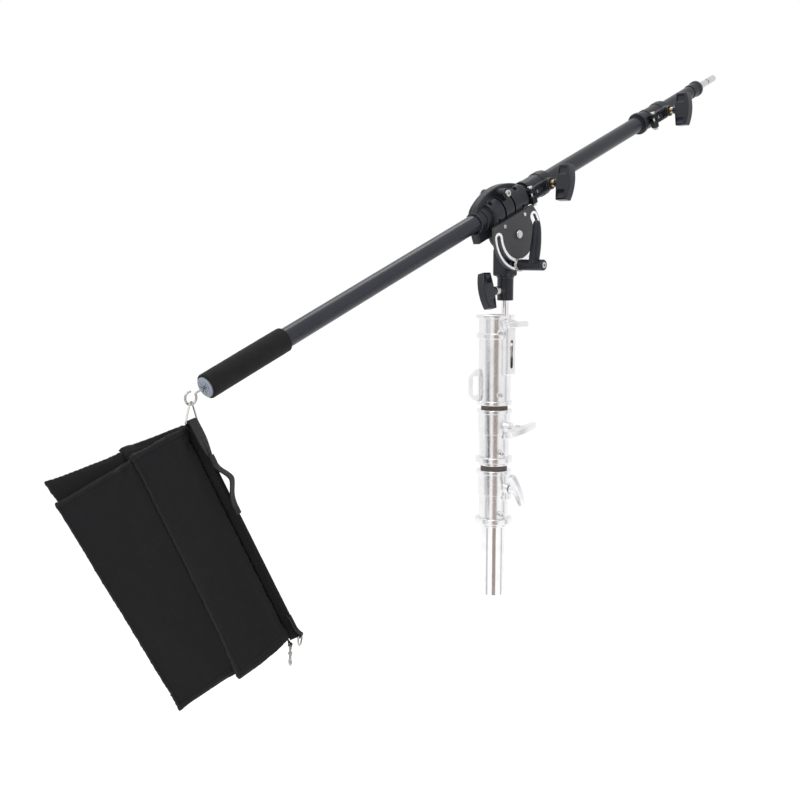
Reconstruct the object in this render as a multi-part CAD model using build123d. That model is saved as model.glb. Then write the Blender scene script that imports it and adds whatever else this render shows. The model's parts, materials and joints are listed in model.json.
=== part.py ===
from build123d import *
import math
import os

# A boom stand: a telescoping column whose sliding stud carries a pivoting grip head,
# a two-section boom through that head, and a saddle bag hung on the boom's rear hook.
# Frame: origin at the centre of the lower tube's open foot, +Z up the column,
# +X the boom's forward direction. Millimetres.

# Column
LOWER_RADIUS = 25.5
MIDDLE_RADIUS = 22.5
TOP_RADIUS = 20.0
TUBE_WALL = 1.8
FOOT_LENGTH = 145.0
LOWER_SEATED = 24.7
LOWER_COLLAR_BOTTOM = 152.0
LOWER_COLLAR_TOP = 265.0
MIDDLE_COLLAR_BOTTOM = 274.0
MIDDLE_COLLAR_TOP = 392.0
CASTING_BOTTOM = 401.0
CASTING_TOP = 587.5
RECEIVER_RADIUS = 14.4
RECEIVER_FLOOR = 486.0
BUMPER_RADIUS = 27.5
BOLT_BEARING = 247.0

# Stud and pivot
STUD_RADIUS = 7.94
STUD_OFFSET = 26.0
PIVOT_HEIGHT = 750.0
CLAMP_DROP = 61.0
KNOB_DROP = -113.0
SLOT_RADIUS = 60.9
SLOT_WIDTH = 10.4
SLOT_HALF_SWEEP = 104.0
PLATE_RADIUS = 73.7
PLATE_FACE = 26.6
PLATE_THICKNESS = 6.0

# Boom
BOOM_TILT = 22.93
BOOM_RISE = 56.1
BOOM_RADIUS = 17.5
BOOM_REAR = -776.0
BOOM_FRONT = 596.0
SLEEVE_RADIUS = 21.0
SLEEVE_REAR = -81.0
SLEEVE_FRONT = 148.0
SLEEVE_KNOB = 137.0
FRONT_KNOB = 608.0
EXTENSION_RADIUS = 15.0
EXTENSION_REAR = -150.0
EXTENSION_FRONT = 760.0
SPIGOT_RADIUS = 7.94
SPIGOT_ROOT = 7.5
SPIGOT_TIP = 866.0

# Bag
BAG_YAW = 36.0
BAG_LEAN = 25.6
BAG_LENGTH = 378.0
BAG_HALF_GAP = 4.0
HOOK_WIRE = 2.0
HOOK_RADIUS = 10.5
HOOK_CENTRE = -811.0
HOOK_DROP = 3.0
RING_WIRE = 1.5
RING_TOP = 4.2
RING_SHOULDER = 8.0
RING_BASE = 27.0
RING_HALF = 27.0

# Clearances: for fixed pieces that sit in each other, for turning fits, and for pieces that slide past
SEAT = 0.05
RUNNING = 0.08
SLIDING = 0.3

PIVOT = Location((0, -STUD_OFFSET, PIVOT_HEIGHT))
BOOM = Location((0, -STUD_OFFSET, PIVOT_HEIGHT), (0, -BOOM_TILT, 0))

os.makedirs("parts", exist_ok=True)


def save(node, *solids):
    """Write one node's solids as one STEP file."""
    shape = solids[0] if len(solids) == 1 else Compound(children=[s for s in solids])
    export_step(shape, f"parts/{node}.step")


def rod(radius, start, end, bore=0.0, soften=0.0):
    """A round bar, or a tube if it has a bore, from one point to another."""
    start = Vector(*start)
    end = Vector(*end)
    bar = extrude(Plane(origin=start, z_dir=end - start) * Circle(radius), (end - start).length)
    if soften:
        bar = fillet(bar.edges(), soften)
    if bore:
        bar -= extrude(Plane(origin=start, z_dir=end - start) * Circle(bore), (end - start).length)
    return bar


def block(low, high, soften=0.0):
    """A box between two corners."""
    size = [h - l for l, h in zip(low, high)]
    middle = [(h + l) / 2 for l, h in zip(low, high)]
    box = Pos(*middle) * Box(*size)
    return fillet(box.edges(), soften) if soften else box


def bent_wire(radius, path):
    """A round wire along a path of straight runs and arcs."""
    start = path @ 0
    return sweep(Plane(origin=start, z_dir=path % 0) * Circle(radius), path=path)


def socket_screw(base, direction, radius=4.2, height=4.0):
    """A socket-head screw's head, with its hexagon recess, standing on a point of a surface."""
    base = Vector(*base)
    direction = Vector(*direction).normalized()
    seat = Plane(origin=base, z_dir=direction)
    head = extrude(seat * Circle(radius), height)
    head = chamfer(head.edges().sort_by(lambda e: (e.center() - base).dot(direction))[-1], 0.5)
    recess = extrude(seat.offset(height * 0.45) * RegularPolygon(radius * 0.55, 6), height)
    return head - recess


def t_handle(bar, thick, hub, neck, wing_low, wing_high, crown, socket=0.0):
    """A T-handle about +Z, its bar along X and its hub's face at z = 0, with a blind hole for a screw."""
    half = bar / 2
    right = [(hub * 0.8, neck), (half, wing_low), (half, wing_high)]
    left = [(-x, z) for x, z in reversed(right)]
    outline = Polyline(*left, *right)
    edge = ThreePointArc(right[-1], (0, crown), left[0])
    wings = extrude(Plane.XZ * make_face([outline, edge]), thick / 2, both=True)
    wings = fillet(wings.edges(), 2.2)
    deep = crown - wing_low > 20
    for x in (-0.64 * half, 0.64 * half) if deep else ():
        for side in (-1, 1):
            dish = rod(17.0, (x, side * (thick / 2 + 14.8), wing_low - 30), (x, side * (thick / 2 + 14.8), crown + 30))
            wings -= dish & block((-bar, -thick, wing_low + 2), (bar, thick, crown - 0.16 * bar))
    handle = wings + rod(hub, (0, 0, 0), (0, 0, wing_high - 4), soften=1.0)
    return handle - rod(4.0 + SEAT, (0, 0, -1), (0, 0, socket)) if socket else handle


def facing_front(x, z, face, turn):
    """The place of a part made about +Z that points along -Y from a face, its X turned by an angle."""
    return Pos(x, face, z) * Rot(90, 0, 0) * Rot(0, 0, turn)


# ---- Column -------------------------------------------------------------------------------------


def riser_collar(bottom, top, seat_radius, seat_top, slide_radius, lever_height):
    """A cast collar: it holds the tube below it, and the next riser slides through it."""
    step = (bottom + top) / 2 + 4
    collar = rod(31.0, (0, 0, bottom - 6.5), (0, 0, top), soften=1.5)
    collar += rod(33.5, (0, 0, step), (0, 0, top - 3), soften=1.2)
    collar += rod(39.0, (0, 0, bottom), (0, 0, bottom + 12), soften=2.0)
    collar += rod(36.5, (0, 0, top - 9), (0, 0, top), soften=1.8)
    collar += rod(11.5, (0, 0, lever_height), (0, -45.0, lever_height), soften=1.0)
    collar += block((-9, -41, lever_height - 24), (9, -20, lever_height + 10), soften=2.5)
    collar += rod(7.0, (0, 0, bottom + 22), polar(36.5, BOLT_BEARING, bottom + 22), soften=0.8)
    collar -= rod(seat_radius + SEAT, (0, 0, bottom - 8), (0, 0, seat_top))
    collar -= rod(slide_radius + SLIDING, (0, 0, seat_top), (0, 0, top + 1))
    collar -= rod(4.1, (0, 0, lever_height), (0, -60.0, lever_height))
    return collar


def polar(radius, bearing, height):
    """A point by its distance from the column's axis, its bearing from +X, and its height."""
    angle = math.radians(bearing)
    return (radius * math.cos(angle), radius * math.sin(angle), height)


def collar_bolts(height):
    """The collar's clamp screw and its twin on the far side."""
    near = socket_screw(polar(36.5 + SEAT, BOLT_BEARING, height), polar(1, BOLT_BEARING, 0))
    far = socket_screw(polar(31.5, BOLT_BEARING - 157, height), polar(1, BOLT_BEARING - 157, 0))
    return [near, far]


def column_lever(height, face, turn, riser_radius):
    """A cast T-lever with its screw, whose tip stands just off the riser that it locks."""
    handle = facing_front(0, height, face, turn) * t_handle(74, 13, 8.5, 8, 11, 22, 27)
    shank = rod(4.0, (0, -riser_radius - SLIDING, height), (0, face - 4, height))
    return handle + shank


def make_column():
    """The three nested tubes, their collars, bumpers and T-levers."""
    wall = TUBE_WALL
    lower_seat = 205.0
    middle_seat = 330.0
    top_seat = 470.0
    lower = rod(LOWER_RADIUS, (0, 0, 0), (0, 0, FOOT_LENGTH), LOWER_RADIUS - wall)
    lower += rod(LOWER_SEATED, (0, 0, FOOT_LENGTH - 1), (0, 0, lower_seat), LOWER_RADIUS - wall)
    save("lower_tube", lower)
    save("middle_tube", rod(MIDDLE_RADIUS, (0, 0, 8), (0, 0, middle_seat), MIDDLE_RADIUS - wall))
    save("top_tube", rod(TOP_RADIUS, (0, 0, 16), (0, 0, top_seat), TOP_RADIUS - wall))

    lower_lever = 228.0
    middle_lever = 356.0
    save("lower_collar", riser_collar(LOWER_COLLAR_BOTTOM, LOWER_COLLAR_TOP, LOWER_SEATED, lower_seat,
                                      MIDDLE_RADIUS, lower_lever))
    save("middle_collar", riser_collar(MIDDLE_COLLAR_BOTTOM + 6.8, MIDDLE_COLLAR_TOP, MIDDLE_RADIUS,
                                       middle_seat, TOP_RADIUS, middle_lever))
    save("lower_bumper", rod(BUMPER_RADIUS, (0, 0, LOWER_COLLAR_TOP + SEAT), (0, 0, 273.7),
                             MIDDLE_RADIUS + 0.4))
    save("middle_bumper", rod(BUMPER_RADIUS, (0, 0, MIDDLE_COLLAR_TOP + SEAT), (0, 0, 400.7),
                              TOP_RADIUS + 0.4))
    save("lower_collar_bolts", *collar_bolts(LOWER_COLLAR_BOTTOM + 22))
    save("middle_collar_bolts", *collar_bolts(MIDDLE_COLLAR_BOTTOM + 28.8))
    save("lower_lever", column_lever(lower_lever, -46.0, -62, MIDDLE_RADIUS))
    save("middle_lever", column_lever(middle_lever, -60.0, 10, TOP_RADIUS))


def cable_hanger():
    """The cast loop on the receiver's side, where a coiled cable is hung."""
    outline = Polyline((28, 478), (41, 474), (56, 460), (56, 421), (48, 412), (28, 406), (28, 478))
    plate = extrude(Plane.XZ * make_face(outline), 4, both=True)
    hole = extrude(Plane.XZ * Pos(42, 441) * RectangleRounded(13, 40, 4), 6, both=True)
    return Rot(0, 0, 150) * (plate - hole)


def receiver_casting():
    """The top casting: a tube seat below, a spigot receiver above, and the stud's housing in front."""
    top = CASTING_TOP
    casting = rod(33.5, (0, 0, CASTING_BOTTOM), (0, 0, top), soften=1.5)
    casting += rod(40.0, (0, 0, top - 8), (0, 0, top), soften=2.0)
    casting += rod(38.0, (0, 0, 538), (0, 0, 550), soften=2.5)
    casting += rod(37.0, (0, 0, CASTING_BOTTOM), (0, 0, CASTING_BOTTOM + 9), soften=2.0)
    casting += block((-14, -45, 464), (14, -10, top - 9), soften=4.0)
    casting += rod(15.0, (0, -STUD_OFFSET, 520), (0, -STUD_OFFSET, top))
    for height in (551.0, 424.0):
        casting += rod(7.0, (0, 0, height), polar(38.5, BOLT_BEARING - 8, height), soften=0.8)
    casting += cable_hanger()
    casting -= rod(TOP_RADIUS + SEAT, (0, 0, CASTING_BOTTOM - 1), (0, 0, 470))
    casting -= rod(RECEIVER_RADIUS, (0, 0, RECEIVER_FLOOR), (0, 0, top + 1))
    casting -= rod(STUD_RADIUS + RUNNING, (0, -STUD_OFFSET, 472), (0, -STUD_OFFSET, top + 1))
    slot = Pos(0, 508) * RectangleRounded(8, 58, 3.9)
    casting -= extrude(Plane.XZ.offset(STUD_OFFSET) * slot, 30)
    casting -= rod(4.1, (0, -STUD_OFFSET, 569), (0, -60, 569))
    return casting


def make_receiver():
    """The casting that carries the stud, with its screws, T-lever and the sliding stud."""
    save("receiver_casting", receiver_casting())
    bearing = BOLT_BEARING - 8
    screws = [socket_screw(polar(38.5 + SEAT, bearing, z), polar(1, bearing, 0)) for z in (551.0, 424.0)]
    save("receiver_bolts", *screws)
    lever = facing_front(0, 569, -46.0, 0) * t_handle(70, 12, 8, 4, 5, 14, 18)
    tip = STUD_OFFSET + STUD_RADIUS + SLIDING
    save("receiver_lever", lever + rod(4.0, (0, -tip, 569), (0, -48, 569)))
    stud = rod(STUD_RADIUS, (0, -STUD_OFFSET, 500), (0, -STUD_OFFSET, 661), soften=0.8)
    groove = rod(12, (0, -STUD_OFFSET, 631), (0, -STUD_OFFSET, 642), bore=6.4)
    guide = rod(3.6, (0, -STUD_OFFSET, 528), (0, -44.5, 528))
    save("baby_stud", stud - groove + guide)


# ---- Yoke, in the pivot's frame: origin on the pivot axis, Z up, the viewer's side at -Y --------------


def make_yoke():
    """The yoke on the stud, its T-knob, and the clamp bolt that stands through the quadrant slot."""
    yoke = rod(26.0, (0, -18, 0), (0, 18, 0), soften=2.0)
    yoke += rod(20.0, (0, -26.3, 0), (0, 0, 0), soften=1.0)
    yoke += block((-16, -17, -70), (16, 17, -4), soften=5.0)
    yoke += block((-18, -18, -84), (18, 20.5, -27.5), soften=5.0)
    yoke += rod(13.0, (0, -26.3, -CLAMP_DROP), (0, 0, -CLAMP_DROP), soften=1.0)
    yoke += rod(18.0, (0, 0, -88), (0, 0, -68), soften=3.0)
    yoke += rod(16.5, (0, 0, -133), (0, 0, -70), soften=1.5)
    yoke += rod(10.0, (-23, 0, KNOB_DROP), (0, 0, KNOB_DROP), soften=1.0)
    yoke -= rod(7.0 + SEAT, (0, -30, 0), (0, 30, 0))
    yoke -= rod(4.0 + SEAT, (0, -30, -CLAMP_DROP), (0, 30, -CLAMP_DROP))
    yoke -= rod(STUD_RADIUS + RUNNING, (0, 0, -134), (0, 0, -88))
    yoke -= rod(4.1, (-30, 0, KNOB_DROP), (0, 0, KNOB_DROP))
    save("yoke", PIVOT * yoke)
    save("pivot_bushing", PIVOT * rod(7.0, (0, -26.3, 0), (0, 18, 0), bore=5.0 + RUNNING))

    bolt = rod(4.0, (0, -94, -CLAMP_DROP), (0, 24, -CLAMP_DROP))
    seat = Plane(origin=(0, 20.55, -CLAMP_DROP), z_dir=(0, 1, 0))
    bolt += extrude(seat * RegularPolygon(7.5, 6), 6)
    save("clamp_bolt", PIVOT * bolt)
    washers = [rod(13.5, (0, -y - 2.1, -CLAMP_DROP), (0, -y, -CLAMP_DROP), bore=4.0 + RUNNING, soften=0.5)
               for y in (33.55, 35.75, 37.95)]
    save("clamp_washers", *[PIVOT * washer for washer in washers])

    knob_place = PIVOT * Pos(-33, 0, KNOB_DROP) * Rot(0, -90, 0) * Rot(0, 0, 14)
    save("yoke_knob", knob_place * t_handle(73, 18, 9, 9, 12, 33, 41, socket=12))
    screw = rod(4.0, (-44, 0, KNOB_DROP), (-STUD_RADIUS + 1.1, 0, KNOB_DROP))
    screw += rod(9.0, (-32.7, 0, KNOB_DROP), (-23.3, 0, KNOB_DROP), soften=0.8)
    save("yoke_knob_screw", PIVOT * screw)


def make_ratchet_lever():
    """The clamping lever: a hub on the bolt's end and an arm that tapers to a round tip."""
    hub = rod(11.0, (0, -98, -CLAMP_DROP), (0, -40.3, -CLAMP_DROP), soften=1.5)
    stations = [(-CLAMP_DROP + 2, -72, 10.5), (-34, -76, 10.8), (-4, -79, 9.6), (20, -79, 7.2)]
    sections = [Plane(origin=(0, y, z), z_dir=(0, 0, 1)) * Circle(r) for z, y, r in stations]
    arm = loft(sections)
    arm += Pos(0, -79, 20) * Sphere(7.2)
    lever = hub + arm
    lever -= rod(4.0 + RUNNING, (0, -94.4, -CLAMP_DROP), (0, -40, -CLAMP_DROP))
    lever -= rod(6.0, (0, -99, -CLAMP_DROP), (0, -94.5, -CLAMP_DROP))
    save("ratchet_lever", PIVOT * lever)
    save("ratchet_screw", PIVOT * socket_screw((0, -94.6, -CLAMP_DROP), (0, -1, 0), 5.8, 5.4))


# ---- Head, in the boom's frame: X along the boom, Z away from the pivot, origin on the pivot axis --------


def head_half(side):
    """One cast half of the head: side is -1 for the viewer's half and +1 for the far one."""
    arch = Pos(-6, -36) * Circle(138) & Pos(-6, 66) * Rectangle(168, 100)
    disc = extrude(Plane.XZ * arch, 10, both=True)
    upper = [e for e in disc.edges().filter_by(Axis.Y) if e.center().Z > 60]
    disc = fillet(upper, 40)
    disc = fillet([e for e in disc.edges() if abs(abs(e.center().Y) - 10) < 0.5], 3.0)
    axis = BOOM_RISE
    half = disc + rod(31.0, (-50, 0, axis), (62, 0, axis), soften=5.0)
    half += rod(23.5, (-64, 0, axis), (66, 0, axis), soften=1.5)
    foot = 18 if side < 0 else 30
    half += block((-48, -PLATE_FACE, foot), (44, PLATE_FACE, 52), soften=4.0)
    half += rod(10.0, (-1, -30.5, 87), (-1, 30.5, 87), soften=1.5)
    for x, width in BAND_GROOVES:
        groove = rod(40.0, (x - width / 2, 0, axis), (x + width / 2, 0, axis), bore=26.0)
        half -= groove & block((-60, -50, 38.4), (60, 50, 86))
    half -= rod(SLEEVE_RADIUS + SEAT, (-99, 0, axis), (99, 0, axis))
    half -= rod(26.5, (0, -18.4, 0), (0, 24.7, 0))
    half -= rod(20.6, (0, -40, 0), (0, 40, 0))
    half -= rod(3.4, (-1, -40, 87), (-1, 40, 87))
    for x, z, depth in SHELL_SCREWS:
        half -= rod(5.6, (x, side * 40, z), (x, side * depth, z))
    keep = block((-120, min(0, side * 60), -20), (120, max(0, side * 60), 140))
    return half & keep


BAND_GROOVES = [(-17.5, 6.5), (13.5, 5.5)]
SHELL_SCREWS = [(-42, 83, 10.5), (40, 83, 10.5), (-40, 43, 22.5), (38, 43, 22.5)]


def quadrant_plate():
    """The slotted plate that turns past the clamp bolt, with its straight edge against the shell."""
    disc = Circle(PLATE_RADIUS) & Pos(0, -40) * Rectangle(160, 156)
    shoulder = Pos(-2.5, 20) * Rectangle(95, 36)
    outline = disc + shoulder
    plate = extrude(Plane.XZ.offset(PLATE_FACE) * outline, PLATE_THICKNESS)
    track = extrude(Plane.XZ.offset(PLATE_FACE - 1) * slot_outline(SLOT_RADIUS, SLOT_WIDTH), 10)
    pivot_hole = rod(5.0 + SEAT, (0, -40, 0), (0, -20, 0))
    plate -= track
    plate -= pivot_hole
    for x in PLATE_SCREWS:
        plate -= rod(2.6, (x, -40, 29.5), (x, -20, 29.5))
    return plate


PLATE_SCREWS = (-33, 33)


def slot_outline(radius, width):
    """An arc-shaped slot about the origin, centred below it, with round ends."""
    sweep_deg = SLOT_HALF_SWEEP
    centre_line = CenterArc((0, 0), radius, -90 - sweep_deg, 2 * sweep_deg)
    ring = Circle(radius + width / 2) - Circle(radius - width / 2)
    cap_half = 180 - sweep_deg
    tips = [centre_line @ 0, centre_line @ 1]
    wedge = make_face(Polyline((0, 0), *wedge_points(cap_half), (0, 0)))
    slot = ring - wedge
    for tip in tips:
        slot += Pos(tip.X, tip.Y) * Circle(width / 2)
    return slot


def wedge_points(half_angle):
    """Far corners of a wedge that opens upward by the half angle each side of +Z."""
    reach = 200.0
    angles = [90 + half_angle, 90 + half_angle / 2, 90, 90 - half_angle / 2, 90 - half_angle]
    return [(reach * math.cos(math.radians(a)), reach * math.sin(math.radians(a))) for a in angles]


def slot_liner():
    """The bright raised rim around the slot, standing 0.6 mm proud of the plate."""
    face = PLATE_FACE + PLATE_THICKNESS + SEAT
    rim = slot_outline(SLOT_RADIUS - 0.5, SLOT_WIDTH + 12) - slot_outline(SLOT_RADIUS, SLOT_WIDTH + 1.5)
    return extrude(Plane.XZ.offset(face) * rim, 0.6)


def make_head():
    """Both shells, the plates, the pivot and the sleeve that the boom slides through."""
    save("front_shell", BOOM * head_half(-1))
    save("rear_shell", BOOM * head_half(1))
    save("quadrant_plate", BOOM * quadrant_plate())
    save("slot_liner", BOOM * slot_liner())

    ear = rod(26.0, (0, 18.5, 0), (0, 24.5, 0), soften=1.0)
    ear += block((-24, PLATE_FACE + SEAT, 0), (24, PLATE_FACE + 6, 36), soften=1.5)
    ear += rod(16.0, (0, 24, 0), (0, PLATE_FACE + 6, 0))
    ear -= rod(5.0 + SEAT, (0, 10, 0), (0, 40, 0))
    save("rear_ear_plate", BOOM * ear)

    face = -PLATE_FACE - PLATE_THICKNESS - SEAT
    dome = rod(8.5, (0, face - 5, 0), (0, face, 0), soften=2.2)
    bolt = dome + rod(5.0, (0, face - 1, 0), (0, 40, 0))
    nut_seat = Plane(origin=(0, PLATE_FACE + 6 + SEAT, 0), z_dir=(0, 1, 0))
    bolt += extrude(nut_seat * RegularPolygon(9, 6), 7)
    save("pivot_bolt", BOOM * bolt)

    plate_screws = [BOOM * rod(4.0, (x, face - 1.6, 29.5), (x, face, 29.5), soften=0.7) for x in PLATE_SCREWS]
    save("plate_screws", *plate_screws)
    shell_screws = [BOOM * socket_screw((x, side * (depth + SEAT), z), (0, side, 0), 3.6, 3.2)
                    for x, z, depth in SHELL_SCREWS for side in (-1, 1)]
    save("shell_screws", *shell_screws)
    through = rod(3.3, (-1, -31, 87), (-1, 31, 87))
    caps = [socket_screw((-1, side * 30.6, 87), (0, side, 0), 6.5, 5.5) for side in (-1, 1)]
    save("head_bolt", BOOM * (through + caps[0] + caps[1]))

    sleeve = rod(SLEEVE_RADIUS, (SLEEVE_REAR, 0, BOOM_RISE), (SLEEVE_FRONT, 0, BOOM_RISE),
                 bore=BOOM_RADIUS + SLIDING, soften=0.8)
    sleeve -= rod(4.1, (SLEEVE_KNOB, -30, BOOM_RISE), (SLEEVE_KNOB, 0, BOOM_RISE))
    save("boom_sleeve", BOOM * sleeve)


def grip_collar(knob, bore, rear_flange):
    """A cast grip: a split barrel with a clamp lug at its rear and the T-knob's boss at its front."""
    axis = BOOM_RISE
    collar = rod(bore + 3.2, (knob - 58, 0, axis), (knob + 16, 0, axis), soften=1.0)
    collar += rod(bore + 5.0, (knob - 9, 0, axis), (knob + 8, 0, axis), soften=1.5)
    collar += rod(bore + 4.6, (knob - 58, 0, axis), (knob - 49, 0, axis), soften=1.2)
    collar += rod(12.5, (knob, 0, axis), (knob, -33.5, axis), soften=1.0)
    collar += block((knob - 70.5, -35, axis - 19), (knob - 57, -21.7, axis + 13), soften=2.0)
    collar += block((knob - 59.5, -29, axis - 13), (knob - 6, -10.5, axis + 12), soften=2.0)
    if rear_flange:
        collar += rod(bore + 3.2, (knob - 90, 0, axis), (knob - 56, 0, axis), soften=0.8)
        collar += rod(bore + 7.0, (knob - 90, 0, axis), (knob - 80, 0, axis), soften=1.5)
    collar -= block((knob - 34, -31, axis - 8), (knob - 14, -24.8, axis + 8))
    collar -= block((knob - 72, -40, axis - 4), (knob - 60, -21, axis + 4))
    collar -= rod(3.0 + SEAT, (knob - 64, -28.5, axis - 22), (knob - 64, -28.5, axis + 20))
    collar -= rod(4.1, (knob, -40, axis), (knob, 0, axis))
    return collar


def grip_bolts(knob):
    """The bolt across the clamp lug, with its head and nut, and the small screw beside it."""
    axis = BOOM_RISE
    x = knob - 64
    bolt = rod(3.0, (x, -28.5, axis - 22), (x, -28.5, axis + 16))
    bolt += rod(5.2, (x, -28.5, axis + 13.05), (x, -28.5, axis + 17), soften=0.6)
    bolt += extrude(Plane(origin=(x, -28.5, axis - 23), z_dir=(0, 0, 1)) * RegularPolygon(5.4, 6), 3.95)
    screw = rod(3.0, (knob - 45, -30.6, axis), (knob - 45, -29.05, axis), soften=0.5)
    return [BOOM * bolt, BOOM * screw]


def grip_knob(knob, turn):
    """A T-knob on a grip, pointing to the viewer's side."""
    place = BOOM * facing_front(knob, BOOM_RISE, -43.3, 90 + turn)
    return place * t_handle(73, 19, 9, 7, 10, 36, 43, socket=10)


def grip_screw(knob, tip):
    """The knob's screw, with the wide neck between the boss and the knob."""
    screw = rod(4.0, (knob, -tip, BOOM_RISE), (knob, -52, BOOM_RISE))
    screw += rod(7.5, (knob, -43.0, BOOM_RISE), (knob, -33.8, BOOM_RISE), soften=0.8)
    return BOOM * screw


def make_grips():
    """The grip on the head's sleeve and its twin at the boom's front end."""
    axis = BOOM_RISE
    sleeve_bore = rod(SLEEVE_RADIUS + SEAT, (-30, 0, axis), (200, 0, axis))
    save("sleeve_grip", BOOM * (grip_collar(SLEEVE_KNOB, SLEEVE_RADIUS, False) - sleeve_bore))
    save("sleeve_grip_bolts", *grip_bolts(SLEEVE_KNOB))
    save("sleeve_knob", grip_knob(SLEEVE_KNOB, -BOOM_TILT - 8))
    save("sleeve_knob_screw", grip_screw(SLEEVE_KNOB, BOOM_RADIUS + SLIDING))

    boom_bore = rod(BOOM_RADIUS + SEAT, (400, 0, axis), (BOOM_FRONT, 0, axis))
    boom_bore += rod(EXTENSION_RADIUS + SLIDING, (500, 0, axis), (700, 0, axis))
    save("boom_grip", BOOM * (grip_collar(FRONT_KNOB, BOOM_RADIUS, True) - boom_bore))
    save("boom_grip_bolts", *grip_bolts(FRONT_KNOB))
    save("extension_knob", grip_knob(FRONT_KNOB, -BOOM_TILT))
    save("extension_knob_screw", grip_screw(FRONT_KNOB, EXTENSION_RADIUS + SLIDING))


# ---- Boom ---------------------------------------------------------------------------------------


def make_boom():
    """The main tube with its foam grip, end plug and hook, and the sliding extension with its spigot."""
    axis = BOOM_RISE
    bore = EXTENSION_RADIUS + SLIDING
    save("boom_tube", BOOM * rod(BOOM_RADIUS, (BOOM_REAR, 0, axis), (BOOM_FRONT, 0, axis), bore))
    grip = rod(22.0, (BOOM_REAR - 2, 0, axis), (-603, 0, axis), soften=2.0)
    grip -= rod(BOOM_RADIUS + SEAT, (BOOM_REAR - 3, 0, axis), (-600, 0, axis))
    save("foam_grip", BOOM * grip)

    plug = rod(bore - SEAT, (BOOM_REAR - 5, 0, axis), (BOOM_REAR + 24, 0, axis))
    plug += rod(BOOM_RADIUS - 0.1, (BOOM_REAR - 5, 0, axis), (BOOM_REAR - SEAT, 0, axis), soften=0.9)
    for turn in range(0, 180, 45):
        cut = Pos(BOOM_REAR - 5, 0, axis) * Rot(turn, 0, 0) * Box(4, 26, 2.0)
        plug -= cut
    plug -= rod(2.1, (BOOM_REAR - 10, 0, axis), (BOOM_REAR + 30, 0, axis))
    save("end_plug", BOOM * plug)
    save("bag_hook", BOOM * bag_hook())

    extension = rod(EXTENSION_RADIUS, (EXTENSION_REAR, 0, axis), (EXTENSION_FRONT, 0, axis),
                    EXTENSION_RADIUS - 1.8)
    save("extension_tube", BOOM * extension)
    ferrule = rod(EXTENSION_RADIUS + 1.8, (752, 0, axis), (782, 0, axis), soften=1.0)
    ferrule += rod(18.5, (776, 0, axis), (785, 0, axis), soften=1.5)
    ferrule -= rod(EXTENSION_RADIUS + SEAT, (750, 0, axis), (EXTENSION_FRONT + SEAT, 0, axis))
    ferrule -= rod(SPIGOT_ROOT + SEAT, (740, 0, axis), (790, 0, axis))
    save("end_ferrule", BOOM * ferrule)
    spigot = rod(SPIGOT_RADIUS, (785.1, 0, axis), (SPIGOT_TIP, 0, axis), soften=0.9)
    spigot += rod(SPIGOT_ROOT, (735, 0, axis), (790, 0, axis))
    spigot -= rod(12, (822, 0, axis), (834, 0, axis), bore=6.4)
    save("boom_spigot", BOOM * spigot)


def bag_hook():
    """A cup hook: a shank on the boom's axis that turns down into a round bowl, open at its top."""
    shank_end = HOOK_CENTRE + HOOK_RADIUS + HOOK_DROP
    rear = BOOM_REAR + 20
    centre = (HOOK_CENTRE, BOOM_RISE - HOOK_DROP)
    shank = Line((rear, BOOM_RISE), (shank_end, BOOM_RISE))
    shoulder = CenterArc((shank_end, BOOM_RISE - HOOK_DROP), HOOK_DROP, 90, 90)
    bowl = CenterArc(centre, HOOK_RADIUS, 0, -285)
    path = Plane.XZ * Wire([shank, shoulder, bowl])
    hook = bent_wire(HOOK_WIRE, path)
    tip = path @ 1
    return hook + Pos(tip.X, tip.Y, tip.Z) * Sphere(HOOK_WIRE * 1.12)


# ---- Bag, hung plumb from the hook ---------------------------------------------------------------


def hook_point():
    """The lowest point of the hook's wire axis, in the stand's frame."""
    centre = BOOM * Pos(HOOK_CENTRE, 0, BOOM_RISE - HOOK_DROP)
    return centre.position - Vector(0, 0, HOOK_RADIUS)


HANG = hook_point()
# The bag's frame: origin on the hook's wire, Z up, X in the bag's plane, Y through the bag and away.
BAG = Location(HANG, (0, 0, BAG_YAW - 90))
# The outline's frame: u runs down the spine from its top corner, v away from it.
SPINE_TOP = (2.0, -31.5)


def bag_point(u, v, depth):
    """A point of the bag by distance down the spine, distance out from it, and depth through the bag."""
    lean = math.radians(BAG_LEAN)
    x = SPINE_TOP[0] + u * math.sin(lean) - v * math.cos(lean)
    z = SPINE_TOP[1] - u * math.cos(lean) - v * math.sin(lean)
    return (x, depth, z)


def bag_ring():
    """The triangular wire ring: round over the hook, with the webbing's bar at its base."""
    corner = 4.0
    shoulder = (RING_SHOULDER, -1.0)
    foot = Vector(RING_HALF, -RING_BASE)
    leg_end = foot - (foot - Vector(*shoulder)).normalized() * corner
    bar_start = (RING_HALF - corner, -RING_BASE)
    crown = ThreePointArc((0, RING_TOP), (RING_SHOULDER * 0.7, RING_TOP * 0.66), shoulder)
    leg = Line(shoulder, (leg_end.X, leg_end.Y))
    bend = TangentArc(leg @ 1, bar_start, tangent=leg % 1)
    bar = Line(bar_start, (0, -RING_BASE))
    half = bent_wire(RING_WIRE, Plane.YZ * Wire([crown, leg, bend, bar]))
    return BAG * (half + mirror(half, about=Plane.XZ))


def bag_panel(corners, thin, thick, near, side):
    """A wedge of cloth and fill: four (u, v) corners, thin at its top and thick at its foot.

    near is the depth of its inner face, and side is -1 for the front half or +1 for the back one.
    """
    top_in, top_out, foot_out, foot_in = corners
    sections = []
    for (a, b), size in (((top_in, top_out), thin), ((foot_in, foot_out), thick)):
        points = [bag_point(*a, near), bag_point(*b, near), bag_point(*b, near + side * size),
                  bag_point(*a, near + side * size)]
        sections.append(make_face(Polyline(*points, points[0])))
    return BAG * loft(sections, ruled=True)


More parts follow.
